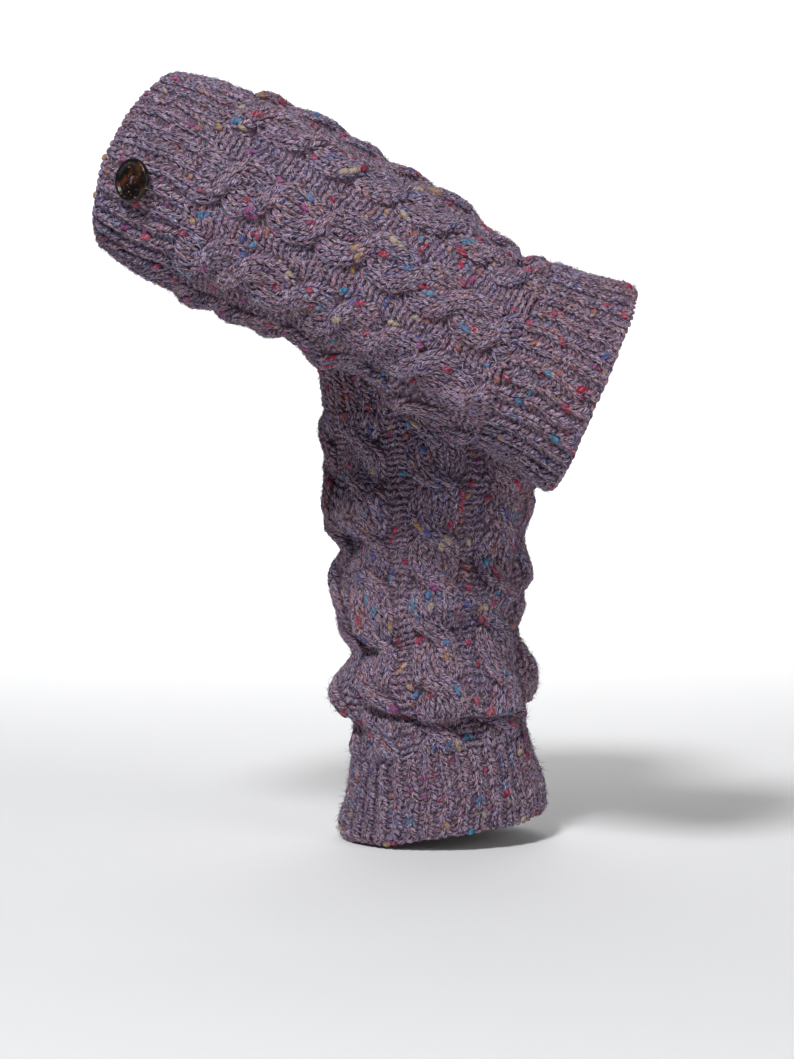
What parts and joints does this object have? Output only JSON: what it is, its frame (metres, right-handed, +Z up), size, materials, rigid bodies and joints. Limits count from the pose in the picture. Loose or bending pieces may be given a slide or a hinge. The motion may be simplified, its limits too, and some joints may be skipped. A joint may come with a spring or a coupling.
{
  "type": "pair of knitted leg warmers",
  "caption": "Pair of hollow cable knit leg warmers with ribbed bands and a button, shaped as worn on walking legs.",
  "frame": {"origin": "centre of the standing leg warmer's top mouth, where the wearer's leg holds it", "axes": "+Z up along the standing leg, +Y away from the viewer, across the pair, +X to the viewer's right, the way the raised leg points from knee to ankle"},
  "size_m": [0.3252, 0.2745, 0.4838],
  "materials": {
    "rib_knit": "fuzzy heathered mauve grey tweed yarn, one by one rib",
    "cable_knit": "fuzzy heathered mauve grey tweed yarn with coloured flecks, rope cables on purl",
    "coconut_shell": "polished dark coconut shell"
  },
  "bodies": {
    "root": {"raised_top_rib": "rib_knit", "raised_upper_cables": "cable_knit", "raised_lower_cables": "cable_knit", "raised_ankle_rib": "rib_knit", "raised_button": "coconut_shell", "standing_top_rib": "rib_knit", "standing_upper_cables": "cable_knit", "standing_lower_cables": "cable_knit", "standing_ankle_rib": "rib_knit", "standing_button": "coconut_shell"}
  },
  "joints": []
}
